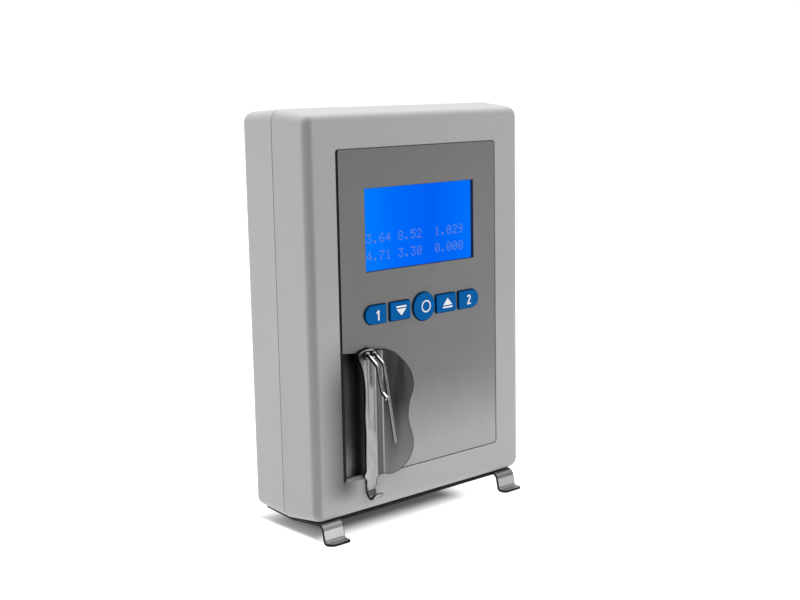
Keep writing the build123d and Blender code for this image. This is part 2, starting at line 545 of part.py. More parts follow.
# rotor: two discs on a hub, three roller pins
rotor = ycyl(PX, PZ, 4.6, 11.6, 21.4)
rotor += ycyl(PX, PZ, 14.2, 11.6, 12.8) + ycyl(PX, PZ, 14.2, 20.2, 21.4)
PIN_R = 1.0
ROLLERS = []
for k in range(3):
    a = math.radians(90 + 120 * k)
    ROLLERS.append((PX + ROLLER_ORBIT * math.cos(a), PZ + ROLLER_ORBIT * math.sin(a)))
for (x, z) in ROLLERS:
    rotor += ycyl(x, z, PIN_R, 12.5, 20.5)
rotor -= ycyl(PX, PZ, 1.5, 14.0, 22.0)
keep("pump_rotor", rotor)
for k, (x, z) in enumerate(ROLLERS):
    keep(f"pump_roller_{k + 1}", ycyl(x, z, ROLLER_R, 13.0, 20.0) - ycyl(x, z, PIN_R + 0.06, 12, 21))
keep("pump_shaft", ycyl(PX, PZ, 1.5, 14.0, 27.0))
motor = ycyl(PX, PZ, 12.0, 25.3, 41.0)
motor = fillet(motor.faces().sort_by(Axis.Y)[-1].edges(), 1.0)
motor += ycyl(PX, PZ, 3.2, 22.4, 25.4)
motor += box(PX - 4.2, PX - 3.4, 41.0, 43.2, PZ - 1.5, PZ + 1.5) + box(PX + 3.4, PX + 4.2, 41.0, 43.2, PZ - 1.5, PZ + 1.5)
motor -= ycyl(PX, PZ, 1.56, 21.0, 28.0)
keep("pump_motor", motor.solids().sort_by(SortBy.VOLUME)[-1])
bracket = rrect_xz(58.0, 46.0, 3.0, 24.02, 25.25, PX, PZ)
bracket -= ycyl(PX, PZ, 3.5, 23, 27)
bracket -= rrect_xz(16.0, 14.0, 2.0, 23, 27, PX - 21.5, PZ - 17.0)
for (x, z) in PUMP_BOSSES:
    bracket -= ycyl(x, z, 1.7, 23, 27)
keep("pump_bracket", bracket.solids().sort_by(SortBy.VOLUME)[-1])
keep("module_screws", *CELL_SCREW_SOLIDS, *[head_forward(x, z, 22.2, 34.0, 2.4, 1.15, 1.8) for (x, z) in PUMP_BOSSES])

# -------------------------------------------------------------------- hoses
HOSE_Y = 16.75
TUBE_ORBIT = 17.4
hx0, hx1 = PX - TUBE_ORBIT, PX + TUBE_ORBIT
u_path = Line((hx0, HOSE_Y, -25.6), (hx0, HOSE_Y, PZ)) \
    + ThreePointArc((hx0, HOSE_Y, PZ), (PX, HOSE_Y, PZ - TUBE_ORBIT), (hx1, HOSE_Y, PZ)) \
    + Line((hx1, HOSE_Y, PZ), (hx1, HOSE_Y, -25.6))
u_start = Plane(origin=(hx0, HOSE_Y, -25.6), z_dir=(0, 0, -1))
pump_tube = sweep(u_start * Circle(2.0), path=u_path) - sweep(u_start * Circle(1.0), path=u_path)
keep("pump_tube", pump_tube)
keep("hose_couplers", *[
    (zcyl(x, HOSE_Y, 2.3, -25.55, -24.45) + zcyl(x, HOSE_Y, 0.95, -29.0, -21.4)
     - zcyl(x, HOSE_Y, 0.5, -30.0, -20.0)) for x in (hx0, hx1)])
keep("intake_hose", pipe([(TUBE_IN_X, 9.0, TUBE_Z), (TUBE_IN_X, 23.0, TUBE_Z),
                          (TUBE_IN_X, 23.0, -29.6)], [4.0], 1.7, 0.92))
keep("cell_hose", pipe([(-26.0, 23.0, -29.6), (-26.0, 23.0, -18.6),
                        (hx0, HOSE_Y, -18.6), (hx0, HOSE_Y, -24.4)], [4.0, 3.0], 1.7, 1.0))
keep("outlet_hose", pipe([(hx1, HOSE_Y, -24.4), (hx1, HOSE_Y, -12.0),
                          (TUBE_OUT_X, 19.0, -12.0), (TUBE_OUT_X, 19.0, TUBE_Z),
                          (TUBE_OUT_X, 9.0, TUBE_Z)], [4.0, 3.2, 3.2], 1.9, 1.12))

# --------------------------------------------------------- rear connectors
# drawn for a rear wall at 46.5 and moved back to the real one
BACK = Pos(0, CASE_D - 46.5, 0)
LAND_Y = 46.5 - 0.6
conn_board = box(-48.0, 10.0, 27.0, 43.0, -88.23, -86.73)
keep("connector_board", BACK * conn_board)
dsub = box(DSUB_X - 15.4, DSUB_X + 15.4, 40.6, 43.95, CONN_Z - 6.2, CONN_Z + 6.2)
dsub += rrect_xz(19.0, 10.0, 2.3, 33.0, 50.0, DSUB_X, CONN_Z)
dsub -= rrect_xz(17.4, 8.4, 2.0, 44.6, 51.0, DSUB_X, CONN_Z)
for dx in (-12.495, 12.495):
    dsub -= ycyl(DSUB_X + dx, CONN_Z, 1.4, 39, 45)
for i in range(9):
    row = 0 if i < 5 else 1
    px = DSUB_X + (i - 2) * 2.77 if row == 0 else DSUB_X + (i - 5 - 1.5) * 2.77
    dsub += ycyl(px, CONN_Z + (1.42 if row == 0 else -1.42), 0.5, 44.0, 49.2)
keep("serial_socket", BACK * dsub)
posts = []
for dx in (-12.495, 12.495):
    p = hex_nut(DSUB_X + dx, CONN_Z, 5.0, 1.0, LAND_Y + 0.02, 50.4)
    p += ycyl(DSUB_X + dx, CONN_Z, 1.35, 38.0, LAND_Y + 0.2)
    posts.append(p)
keep("serial_posts", *[BACK * p for p in posts])
usb = box(USB_X - 6.0, USB_X + 6.0, 31.0, 46.2, CONN_Z - 5.5, CONN_Z + 5.5)
usb -= box(USB_X - 4.3, USB_X + 4.3, 36.0, 47.0, CONN_Z - 4.0, CONN_Z + 4.0)
usb += box(USB_X - 2.8, USB_X + 2.8, 35.9, 44.8, CONN_Z - 1.6, CONN_Z + 1.6)
usb += box(USB_X - 6.0, USB_X + 6.0, 31.0, 43.9, CONN_Z - 6.2, CONN_Z - 5.4)
keep("usb_socket", BACK * usb)
jack = ycyl(JACK_X, CONN_Z, 4.0, 33.0, LAND_Y + 0.2)
jack += ycyl(JACK_X, CONN_Z, 5.6, LAND_Y + 0.02, LAND_Y + 1.3)
jack -= ycyl(JACK_X, CONN_Z, 2.85, 37.8, 50)
jack += ycyl(JACK_X, CONN_Z, 1.0, 37.7, 46.6)
jack += box(JACK_X - 0.3, JACK_X + 0.3, 28.6, 33.1, CONN_Z + 1.2, CONN_Z + 3.2)
jack += box(JACK_X - 1.6, JACK_X + 1.6, 28.6, 33.1, CONN_Z - 2.4, CONN_Z - 1.8)
keep("power_jack", BACK * jack)
keep("jack_nut", BACK * hex_nut(JACK_X, CONN_Z, 11.0, 4.02, 41.8, 43.95))

# rocker switch: frame with two pivot holes, and the rocker on its pins
RX, RZ, RY = ROCKER_X, CONN_Z, 44.4
frame_b = box(RX - 9.6, RX + 9.6, 31.0, LAND_Y + 0.2, RZ - 6.6, RZ + 6.6)
flange = rrect_xz(21.4, 15.4, 1.2, LAND_Y + 0.02, LAND_Y + 1.8, RX, RZ)
flange = fillet(flange.faces().sort_by(Axis.Y)[-1].edges(), 0.5)
frame_b += flange
frame_b -= box(RX - 8.3, RX + 8.3, 38.4, 50, RZ - 5.2, RZ + 5.2)
frame_b -= zcyl(RX, RY, 1.26, RZ - 6.1, RZ + 6.1)
for dx in (-6.0, 0.0, 6.0):
    frame_b += box(RX + dx - 0.4, RX + dx + 0.4, 25.0, 31.1, RZ - 2.4, RZ + 2.4)
keep("rocker_frame", BACK * frame_b)
ROCKER_TILT = 8.0
rk = Polyline((-7.5, 48.6), (0, 47.55), (7.5, 48.6), (7.2, 44.6), (2.6, 41.4), (-2.6, 41.4),
              (-7.2, 44.6), close=True)
rk_face = make_face(rk)
rocker = Pos(RX, 0, 0) * xy(rk_face, RZ - 4.95, RZ + 4.95)
rocker = fillet(rocker.edges().filter_by(Axis.Z).sort_by(Axis.Y)[-2:], 0.7)
rocker += zcyl(RX, RY, 1.2, RZ - 6.0, RZ + 6.0)
# two plain marks: a bar on one end, a ring on the other
rocker -= box(RX - 5.6, RX - 5.0, 47.9, 50, RZ - 1.7, RZ + 1.7)
rocker -= (ycyl(RX + 5.2, RZ, 1.9, 47.9, 50) - ycyl(RX + 5.2, RZ, 1.3, 46, 51))
rocker = Pos(RX, RY, 0) * Rot(0, 0, ROCKER_TILT) * Pos(-RX, -RY, 0) * rocker
keep("rocker_key", BACK * rocker)

# -------------------------------------------------------------------- stand
FRONT_BOTTOM = CASE_H0 / 2 - FRONT_Z
SL_F = (CASE_H1 / 2 - FRONT_BOTTOM) / SEAM_Y
SL_R = (CASE_H1 - CASE_H2) / 2 / (CASE_D - REAR_Y0)


def zf(y):
    return -(FRONT_BOTTOM + SL_F * y) - STAND_T / 2 - 0.05


def zr(y):
    return -(CASE_H1 / 2 - 0.05) + SL_R * (y - REAR_Y0) - STAND_T / 2 - 0.05


RIDGE_Y = SEAM_Y + 0.2
RIDGE_Z = zf(RIDGE_Y) - 0.12
ridge = (RIDGE_Y, RIDGE_Z)
stand = sheet_yz([(1.8, zf(1.8)), ridge, (44.2, zr(44.2))], [18.0], STAND_T, STAND_X0, STAND_X1)
FLOOR = -FLOOR_DROP
for (x, corner) in zip(FRONT_FEET_X, (3.8, 2.6)):
    stand += sheet_yz([(6.0, zf(6.0)), (-0.1, zf(-0.1)), (-1.8, FLOOR + STAND_T / 2),
                       (-6.8, FLOOR + STAND_T / 2)], [3.4, 1.7], STAND_T, x - FOOT_W / 2, x + FOOT_W / 2)
    # the lip's left corner is well rounded, the right one only eased
    for (sx, r) in ((-1, corner), (1, 0.8)):
        cx, cy = x + sx * (FOOT_W / 2 - r), -6.8 + r
        stand -= xy(Pos(cx + sx * (r / 2 + 0.1), cy - r / 2 - 0.1) * Rectangle(r + 0.2, r + 0.2)
                    - Pos(cx, cy) * Circle(r), FLOOR - 0.2, FLOOR + STAND_T + 0.2)
for x in REAR_FEET_X:
    stand += sheet_yz([(40.0, zr(40.0)), (45.6, zr(45.6)), (47.6, FLOOR + STAND_T / 2),
                       (52.61, FLOOR + STAND_T / 2)], [3.4, 1.7], STAND_T, x - FOOT_W / 2, x + FOOT_W / 2)


def sheet_z(y):
    """Middle of the sheet, on its two straight runs."""
    if y < RIDGE_Y:
        a, b = (1.8, zf(1.8)), ridge
    else:
        a, b = ridge, (44.2, zr(44.2))
    return a[1] + (b[1] - a[1]) * (y - a[0]) / (b[0] - a[0])


STAND_SCREWS = [(-46.0, 12.0), (44.0, 12.0), (-30.0, 35.0), (28.0, 35.0)]


def at_stand(shape, x, y):
    z = sheet_z(y)
    a = math.degrees(math.atan2(sheet_z(y + 0.1) - z, 0.1))
    return Pos(x, y, z) * Rot(a, 0, 0) * shape


def stand_screw():
    h = STAND_T / 2
    s = Pos(0, 0, -h - 0.02 - 0.9) * Cylinder(2.9, 1.8)
    s = fillet(s.faces().sort_by(Axis.Z)[0].edges(), 0.7)
    s += Pos(0, 0, 3.0) * Cylinder(1.4, 9.0)
    for a in (0, 90):
        s -= Pos(0, 0, -h - 1.85) * Rot(0, 0, a) * Box(3.4, 0.8, 1.5)
    return s


def stand_nut():
    return Pos(0, 0, 0) * (extrude(RegularPolygon(5.5 / math.sqrt(3), 6), amount=2.3)
                           - Cylinder(1.42, 12))


for (x, y) in STAND_SCREWS:
    stand -= at_stand(Cylinder(1.6, 8), x, y)
keep("base_stand", stand.solids().sort_by(SortBy.VOLUME)[-1])
keep("stand_screws", *[at_stand(stand_screw(), x, y) for (x, y) in STAND_SCREWS])
keep("stand_nuts", *[at_stand(Pos(0, 0, STAND_T / 2 + 0.05 + WALL + 0.5) * stand_nut(), x, y)
                     for (x, y) in STAND_SCREWS])

whole = Compound(children=[s for s in TOP.values()])
bb = whole.bounding_box()
print("bounding box", [round(v, 3) for v in (bb.min.X, bb.min.Y, bb.min.Z, bb.max.X, bb.max.Y, bb.max.Z)])
print("nodes", len(TOP))
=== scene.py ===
import bpy
import bmesh
import math
from mathutils import Matrix, Vector


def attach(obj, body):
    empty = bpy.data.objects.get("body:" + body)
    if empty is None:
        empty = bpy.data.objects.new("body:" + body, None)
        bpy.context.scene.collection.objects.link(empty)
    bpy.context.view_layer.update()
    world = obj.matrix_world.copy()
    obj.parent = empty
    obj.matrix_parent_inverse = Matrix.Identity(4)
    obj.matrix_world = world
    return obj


# Countertop milk analyzer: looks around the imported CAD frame.
# Lengths in the helper P() are the CAD script's own millimetres: X right,
# Y into the case from its front face, Z up from the middle of the plate.

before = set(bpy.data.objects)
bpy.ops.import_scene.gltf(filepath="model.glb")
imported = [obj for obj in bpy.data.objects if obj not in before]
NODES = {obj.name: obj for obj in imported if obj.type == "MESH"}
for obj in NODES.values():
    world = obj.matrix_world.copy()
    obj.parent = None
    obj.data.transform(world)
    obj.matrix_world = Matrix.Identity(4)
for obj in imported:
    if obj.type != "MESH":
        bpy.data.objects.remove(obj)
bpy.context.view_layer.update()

Y_CENTRE, FLOOR_DROP = 17.615, 106.8
PLATE_Y, KEY_FACE = 0.3, -0.8


def P(x, y, z):
    return Vector((x / 1000.0, (y - Y_CENTRE) / 1000.0, (z + FLOOR_DROP) / 1000.0))


# ------------------------------------------------------------------ camera
cam_data = bpy.data.cameras.new("camera")
cam_data.sensor_width = 36.0
cam_data.lens = 58.386
cam_data.clip_start, cam_data.clip_end = 0.01, 50.0
cam = bpy.data.objects.new("camera", cam_data)
right = Vector((0.7501, -0.6610, -0.0183)).normalized()
fwd = Vector((0.6497, 0.7419, -0.1660)).normalized()
up = right.cross(fwd).normalized()
fwd = (fwd - right * 0.000385 + up * 0.000385).normalized()
right = fwd.cross(up).normalized()
up = right.cross(fwd).normalized()
rot = Matrix((right, up, -fwd)).transposed()
cam.matrix_world = Matrix.Translation((-0.4271, -0.488615, 0.2170)) @ rot.to_4x4()
bpy.context.scene.collection.objects.link(cam)
bpy.context.scene.camera = cam
bpy.context.scene.view_settings.view_transform = "Standard"
bpy.context.scene.view_settings.look = "None"


# --------------------------------------------------------- material helpers
class Mat:
    """Small wrapper that keeps a node material readable."""

    def __init__(self, name):
        self.m = bpy.data.materials.new(name)
        self.m.use_nodes = True
        self.nt = self.m.node_tree
        self.nt.nodes.clear()
        self.out = self.nt.nodes.new("ShaderNodeOutputMaterial")
        self.b = self.nt.nodes.new("ShaderNodeBsdfPrincipled")
        self.link(self.b.outputs[0], self.out.inputs[0])
        self.tc = self.nt.nodes.new("ShaderNodeTexCoord")
        self.co = self.tc.outputs["Object"]

    def link(self, a, b):
        self.nt.links.new(a, b)

    def put(self, sock, v):
        if hasattr(v, "is_output") and v.is_output:
            self.link(v, sock)
        elif isinstance(v, (tuple, list)) and len(v) == 3 and sock.type == "RGBA":
            sock.default_value = (*v, 1.0)
        else:
            sock.default_value = v

    def set(self, **kw):
        names = {"color": "Base Color", "metal": "Metallic", "rough": "Roughness", "ior": "IOR",
                 "spec": "Specular IOR Level", "aniso": "Anisotropic", "aniso_rot": "Anisotropic Rotation",
                 "tangent": "Tangent", "coat": "Coat Weight", "coat_rough": "Coat Roughness",
                 "normal": "Normal", "coat_normal": "Coat Normal", "emit": "Emission Color",
                 "emit_power": "Emission Strength", "trans": "Transmission Weight", "alpha": "Alpha",
                 "sheen": "Sheen Weight", "sss": "Subsurface Weight"}
        for k, v in kw.items():
            self.put(self.b.inputs[names[k]], v)
        return self

    def mapping(self, scale=(1, 1, 1), rot=(0, 0, 0), loc=(0, 0, 0), vec=None):
        n = self.nt.nodes.new("ShaderNodeMapping")
        self.link(vec or self.co, n.inputs["Vector"])
        n.inputs["Scale"].default_value = scale
        n.inputs["Rotation"].default_value = rot
        n.inputs["Location"].default_value = loc
        return n.outputs[0]

    def noise(self, vec=None, scale=1.0, detail=3.0, rough=0.5, distort=0.0):
        n = self.nt.nodes.new("ShaderNodeTexNoise")
        self.link(vec or self.co, n.inputs["Vector"])
        n.inputs["Scale"].default_value = scale
        n.inputs["Detail"].default_value = detail
        n.inputs["Roughness"].default_value = rough
        n.inputs["Distortion"].default_value = distort
        return n.outputs["Fac"]

    def voronoi(self, vec=None, scale=1.0, feature="F1"):
        n = self.nt.nodes.new("ShaderNodeTexVoronoi")
        n.feature = feature
        self.link(vec or self.co, n.inputs["Vector"])
        n.inputs["Scale"].default_value = scale
        return n.outputs["Distance"]

    def wave(self, vec=None, scale=1.0, distort=0.0, direction="X"):
        n = self.nt.nodes.new("ShaderNodeTexWave")
        n.bands_direction = direction
        self.link(vec or self.co, n.inputs["Vector"])
        n.inputs["Scale"].default_value = scale
        n.inputs["Distortion"].default_value = distort
        return n.outputs["Fac"]

    def ramp(self, fac, stops, mode="LINEAR"):
        n = self.nt.nodes.new("ShaderNodeValToRGB")
        n.color_ramp.interpolation = mode
        while len(n.color_ramp.elements) < len(stops):
            n.color_ramp.elements.new(0.5)
        for e, (p, c) in zip(n.color_ramp.elements, stops):
            e.position = p
            e.color = (*c, 1.0) if isinstance(c, (tuple, list)) else (c, c, c, 1.0)
        self.link(fac, n.inputs["Fac"])
        return n.outputs["Color"]

    def mrange(self, v, a, b, c, d, smooth=False):
        n = self.nt.nodes.new("ShaderNodeMapRange")
        n.interpolation_type = "SMOOTHSTEP" if smooth else "LINEAR"
        n.clamp = True
        self.link(v, n.inputs["Value"])
        for i, x in zip(("From Min", "From Max", "To Min", "To Max"), (a, b, c, d)):
            n.inputs[i].default_value = x
        return n.outputs["Result"]

    def math(self, op, a, b=0.0, clamp=False):
        n = self.nt.nodes.new("ShaderNodeMath")
        n.operation = op
        n.use_clamp = clamp
        self.put(n.inputs[0], a)
        self.put(n.inputs[1], b)
        return n.outputs[0]

    def mixc(self, fac, a, b, blend="MIX"):
        n = self.nt.nodes.new("ShaderNodeMix")
        n.data_type = "RGBA"
        n.blend_type = blend
        self.put(n.inputs[0], fac)
        self.put(n.inputs[6], a)
        self.put(n.inputs[7], b)
        return n.outputs[2]

    def mixf(self, fac, a, b):
        n = self.nt.nodes.new("ShaderNodeMix")
        n.data_type = "FLOAT"
        self.put(n.inputs[0], fac)
        self.put(n.inputs[2], a)
        self.put(n.inputs[3], b)
        return n.outputs[0]

    def xyz(self, vec=None):
        n = self.nt.nodes.new("ShaderNodeSeparateXYZ")
        self.link(vec or self.co, n.inputs[0])
        return n.outputs

    def bump(self, height, strength=0.2, distance=0.0001, normal=None):
        n = self.nt.nodes.new("ShaderNodeBump")
        n.inputs["Strength"].default_value = strength
        n.inputs["Distance"].default_value = distance
        self.link(height, n.inputs["Height"])
        if normal is not None:
            self.link(normal, n.inputs["Normal"])
        return n.outputs[0]

    # ---- places on the part, in CAD millimetres
    def mm(self):
        """(x, y, z) sockets in the CAD script's millimetres."""
        s = self.xyz()
        x = self.math("MULTIPLY", s[0], 1000.0)
        y = self.math("MULTIPLY_ADD", s[1], 1000.0)
        y.node.inputs[2].default_value = Y_CENTRE
        z = self.math("MULTIPLY_ADD", s[2], 1000.0)
        z.node.inputs[2].default_value = -FLOOR_DROP
        return x, y, z

    def normal(self):
        """Absolute parts of the surface normal, for telling faces from cut edges."""
        s = self.xyz(self.tc.outputs["Normal"])
        return [self.math("ABSOLUTE", c) for c in s], s

    def inside(self, v, lo, hi, soft=0.02):
        """1 between lo and hi, 0 outside."""
        a = self.mrange(v, lo - soft, lo + soft, 0.0, 1.0)
        b = self.mrange(v, hi - soft, hi + soft, 1.0, 0.0)
        return self.math("MULTIPLY", a, b)


def grey(v):
    return (v, v, v)


MATS = {}
# strengths of the painted shade, painted shadow and painted reflection used in the materials below
CORNER_SHADE = 0.35
SHADOW_X, SHADOW_Y, SHADOW_FADE, FLOOR_GLOW = 0.024, -0.013, 0.019, 0.92
PLATE_SHADE_LOW, PLATE_SHADE_HIGH = 0.38, 0.67
WING_SHADE_LOW, WING_SHADE_HIGH, BAND_SHADE, STRIP_DARK = 0.74, 0.92, 0.88, 0.50
LINER_SHADE_LOW, LINER_SHADE_HIGH, LINER_WALL_SHADE = 0.78, 0.940, 0.62


def done(key, mat):
    MATS[key] = mat.m
    return mat


# ---- moulded light grey plastic with a fine spark texture; painted shade darkens the rounded front
# left corner, the case beside the lower part of the plate, the front face towards its top and left, and the
# upright faces
m = Mat("case_plastic")
big = m.noise(scale=14.0, detail=2.0)
mid = m.noise(scale=160.0, detail=3.0, rough=0.6)
grain = m.noise(scale=2600.0, detail=2.0, rough=0.55)
peel = m.noise(scale=520.0, detail=2.0)
tone = m.ramp(big, [(0.3, (0.462, 0.462, 0.462)), (0.7, (0.474, 0.474, 0.474))])
tone = m.mixc(m.mrange(mid, 0.35, 0.7, 0.0, 0.06), tone, (0.43, 0.43, 0.43))
x, y, z = m.mm()
_, nrm = m.normal()
# painted shade: the rounded front left corner of the case darkened in the colour
corner = m.math("MULTIPLY", m.math("MULTIPLY", nrm[0], nrm[1]), m.mrange(nrm[0], -0.2, 0.0, 1.0, 0.0))
tone = m.mixc(m.mrange(corner, 0.05, 0.5, 0.0, CORNER_SHADE, True), tone, (0.0, 0.0, 0.0))
# painted shadow: soft darkening on the case beside the lower part of the plate and below the sampling recess
beside = m.mrange(x, -69.0, -52.5, 0.0, 1.0)
beside = m.math("MULTIPLY", beside, m.mrange(z, -4.0, -40.0, 0.0, 1.0, True))
beside = m.math("MULTIPLY", beside, m.mrange(z, -93.0, -80.0, 0.0, 1.0, True))
beside = m.math("MULTIPLY", beside, m.mrange(y, 0.3, 1.2, 1.0, 0.0))
beside = m.math("MULTIPLY", beside, m.mrange(x, -52.4, -38.0, 1.0, 0.0, True))
tone = m.mixc(m.math("MULTIPLY", beside, 0.72), tone, (0.0, 0.0, 0.0))
# painted shade: the front face darker towards its top and its left
front_face_shade = m.math("MULTIPLY", m.mrange(z, -80.0, 20.0, 0.0, 1.0), m.mrange(x, -60.0, 66.0, 0.18, 0.12))
front_face_shade = m.math("MULTIPLY", front_face_shade, m.mrange(nrm[1], -0.9, -0.5, 1.0, 0.0))
tone = m.mixc(front_face_shade, tone, (0.0, 0.0, 0.0))
# painted shade: every upright face darker than the top, the left side most
upright_face_shade = m.math("ADD", m.mrange(nrm[2], 0.2, 0.8, 0.065, 0.0), m.mrange(nrm[0], -0.9, -0.6, 0.025, 0.0))
tone = m.mixc(upright_face_shade, tone, (0.0, 0.0, 0.0))
m.set(color=tone, rough=m.mixf(m.mrange(mid, 0.3, 0.7, 0.0, 1.0), 0.52, 0.62), spec=0.25)
h = m.math("MULTIPLY_ADD", grain, 1.0)
h.node.inputs[2].default_value = 0.0
m.link(peel, h.node.inputs[2])
m.set(normal=m.bump(h, 0.14, 0.00005))
done("case_plastic", m)


def metal(name, base, rough, brush_axis, streak=0.06, fine=0.05, aniso=0.0, bump=0.05, spots=0.0,
          brush_scale=(2400.0, 36.0), zones=None):
    """Sheet steel: long fine brush lines along one axis, faint stains, soft wear; optional zones paint shade into
    the colour and paint the sheared edges dark as shade.
    """
    k = Mat(name)
    a, s = brush_scale
    sc = {"X": (s, a, a), "Y": (a, s, a), "Z": (a, a, s)}[brush_axis]
    lines = k.noise(k.mapping(sc), 1.0, 4.0, 0.62)
    sc2 = tuple(v * 0.16 for v in sc)
    wide = k.noise(k.mapping(sc2, loc=(3.1, 1.7, 0.4)), 1.0, 3.0, 0.55)
    cloud = k.noise(scale=38.0, detail=3.0, rough=0.55)
    stain = k.noise(scale=90.0, detail=4.0, rough=0.6, distort=1.2)
    lo, hi = [max(0.0, c * (1 - streak)) for c in base], [min(1.0, c * (1 + streak)) for c in base]
    col = k.ramp(lines, [(0.28, tuple(lo)), (0.72, tuple(hi))])
    col = k.mixc(k.mrange(wide, 0.3, 0.7, 0.0, fine * 3), col, tuple(c * 0.86 for c in base))
    col = k.mixc(k.mrange(cloud, 0.35, 0.75, 0.0, fine * 3), col, tuple(c * 0.80 for c in base))
    if spots:
        col = k.mixc(k.mrange(stain, 0.55, 0.8, 0.0, spots), col, tuple(c * 0.62 for c in base))
    r = k.mixf(k.mrange(lines, 0.3, 0.7, 0.0, 1.0), rough * 0.88, rough * 1.12)
    r = k.mixf(k.mrange(stain, 0.45, 0.75, 0.0, 0.5), r, min(1.0, rough * 1.35))
    hh = k.mixf(0.35, lines, wide)
    k.set(metal=1.0, normal=k.bump(hh, bump, 0.00004))
    # painted shade and painted reflection: the zones darken the colour and paint the sheared edges near black
    if zones:
        f, rim_shade = zones(k)
        col = k.mixc(f, col, (0.0, 0.0, 0.0))
        if rim_shade is not None:
            col = k.mixc(rim_shade, col, (0.022, 0.022, 0.022))
            r = k.mixf(rim_shade, r, 0.5)
    k.set(color=col, rough=r)
    if aniso:
        t = k.nt.nodes.new("ShaderNodeCombineXYZ")
        v = {"X": (1, 0, 0), "Y": (0, 1, 0), "Z": (0, 0, 1)}[brush_axis]
        for i in range(3):
            t.inputs[i].default_value = v[i]
        k.set(aniso=aniso, tangent=t.outputs[0])
    return k


def plastic(name, base, rough=0.45, grain_scale=1800.0, bump=0.12, vary=0.08, spec=0.5, coat=0.0):
    """Moulded plastic, rubber or paint with a fine texture and uneven gloss."""
    k = Mat(name)
    mid = k.noise(scale=120.0, detail=3.0, rough=0.6)
    g = k.noise(scale=grain_scale, detail=2.0)
    lo, hi = tuple(c * (1 - vary) for c in base), tuple(min(1.0, c * (1 + vary)) for c in base)
    k.set(color=k.ramp(mid, [(0.3, lo), (0.7, hi)]),
          rough=k.mixf(k.mrange(mid, 0.3, 0.7, 0.0, 1.0), rough * 0.9, min(1.0, rough * 1.12)),
          spec=spec, normal=k.bump(g, bump, 0.00005))
    if coat:
        k.set(coat=coat, coat_rough=0.12)
    return k



def plate_zones(k):
    """Painted reflection on the plate: much lighter along the bottom, a little lighter towards the top and the
    right; painted shade on its edges.
    """
    x, y, z = k.mm()
    n, _ = k.normal()
    f = k.mrange(z, -78.0, -30.0, PLATE_SHADE_LOW, PLATE_SHADE_HIGH, True)
    f = k.math("SUBTRACT", f, k.mrange(z, 5.0, 75.0, 0.0, 0.07))
    f = k.math("SUBTRACT", f, k.mrange(x, -30.0, 50.0, 0.0, 0.05))
    return f, k.mrange(n[1], 0.4, 0.7, 1.0, 0.0)


def guard_zones(k):
    # painted reflection: the wing darker towards its top, with painted streaks; painted shade on the band before
    # the fold and along the cut edges; an uneven darker tone over the whole sheet
    x, y, z = k.mm()
    n, _ = k.normal()
    wing = k.mrange(x, -28.6, -27.6, 0.0, 1.0, True)
    band = k.math("MULTIPLY", k.mrange(x, -34.2, -33.2, 0.0, 1.0, True), k.mrange(x, -28.8, -28.3, 1.0, 0.0, True))
    sheen = k.noise(k.mapping((70.0, 70.0, 16.0)), 1.0, 2.0, 0.5, 0.6)
    wing_shade = k.math("ADD", k.mrange(z, -76.0, -44.0, WING_SHADE_LOW, WING_SHADE_HIGH),
                  k.mrange(sheen, 0.3, 0.7, -0.07, 0.05))
    f = k.math("MULTIPLY", wing, wing_shade)
    f = k.math("MAXIMUM", f, k.math("MULTIPLY", band, BAND_SHADE))
    smear = k.noise(k.mapping((60.0, 60.0, 26.0)), 1.0, 3.0, 0.6, 1.0)
    f = k.math("MAXIMUM", f, k.mrange(smear, 0.35, 0.7, STRIP_DARK - 0.12, STRIP_DARK + 0.14))
    low = k.mrange(z, -84.0, -83.0, 1.0, 0.0)
    cut = k.mrange(n[1], 0.25, 0.5, 1.0, 0.0)
    cut = k.math("MULTIPLY", cut, k.math("SUBTRACT", 1.0, low))
    cut = k.math("MAXIMUM", cut, k.math("MULTIPLY", low, k.mrange(n[0], 0.6, 0.9, 0.0, 1.0)))
    return f, cut


def stand_zones(k):
    # painted shade on the stand: darker just under the case and towards the floor, front-turned faces darker, the
    # right-hand ones most; painted shade along the cut edges, the front edge and the lip ends
    x, y, z = k.mm()
    n, s = k.normal()
    cut = k.mrange(n[0], 0.6, 0.9, 0.0, 1.0)
    front = k.math("MULTIPLY", k.inside(y, 1.2, 2.2, 0.1), k.mrange(s[1], -0.9, -0.6, 1.0, 0.0))
    lip = k.math("MULTIPLY", k.mrange(z, -105.6, -105.4, 1.0, 0.0), k.mrange(n[2], 0.4, 0.7, 1.0, 0.0))
    lip = k.math("MULTIPLY", lip, k.mrange(y, -3.4, -3.2, 1.0, 0.0))
    under_case_shade = k.mrange(z, -98.6, -97.4, 0.0, 0.75, True)
    f = k.math("MAXIMUM", k.mrange(z, -106.0, -103.0, 0.35, 0.0, True), under_case_shade)
    f = k.math("MAXIMUM", f, k.math("MULTIPLY", k.mrange(s[1], -0.9, -0.3, 0.34, 0.0), k.mrange(x, -20.0, 20.0, 0.3, 1.0)))
    return f, k.math("MAXIMUM", k.math("MAXIMUM", cut, front), lip)


def liner_zones(k):
    """Painted shade in the recess: grey floor, darker towards the top and black in the corner by the guard; grey
    side wall, darker higher up and deeper in.
    """
    x, y, z = k.mm()
    n, _ = k.normal()
    wall = k.mrange(n[0], 0.5, 0.8, 0.0, 1.0)
    on_floor = k.mrange(z, -80.0, -57.0, LINER_SHADE_LOW, LINER_SHADE_HIGH, True)
    on_floor = k.mixf(k.mrange(x, -45.0, -40.2, 0.0, 1.0, True), on_floor, 0.975)
    on_wall = k.mrange(y, 1.0, 4.6, LINER_WALL_SHADE, 0.90)
    on_wall = k.math("MULTIPLY", on_wall, k.mrange(z, -79.0, -30.0, 0.82, 1.0))
    return k.mixf(wall, on_floor, on_wall), None


